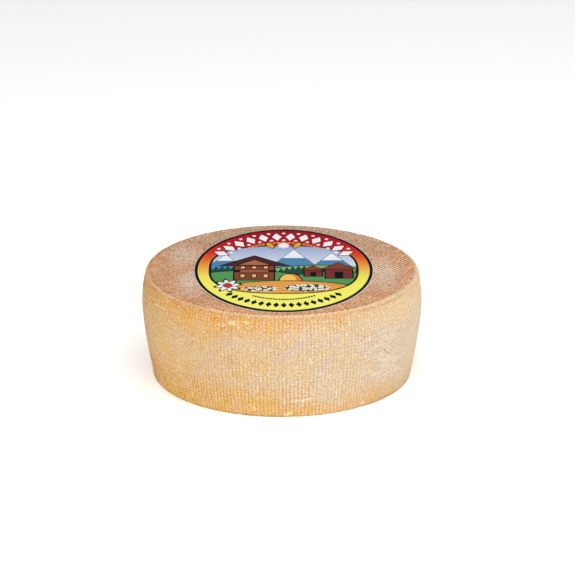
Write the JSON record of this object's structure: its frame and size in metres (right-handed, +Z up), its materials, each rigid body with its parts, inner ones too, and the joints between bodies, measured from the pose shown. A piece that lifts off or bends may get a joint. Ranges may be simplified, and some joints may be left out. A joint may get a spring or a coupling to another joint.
{
  "type": "half cheese wheel",
  "caption": "Half of a small round washed-rind cheese cut across at mid height, lying on its cut face, with an oval paper label on the rind top.",
  "frame": {"origin": "middle of the cut face that the half wheel lies on", "axes": "+Z up along the wheel's axis, towards the rind top; -Y is the front, where the label's lower edge is; +X to the right"},
  "size_m": [0.1098, 0.1101, 0.0422],
  "materials": {
    "rind": "matte",
    "label_paper": "satin"
  },
  "bodies": {
    "root": {"wheel": "rind", "label": "label_paper"}
  },
  "joints": []
}
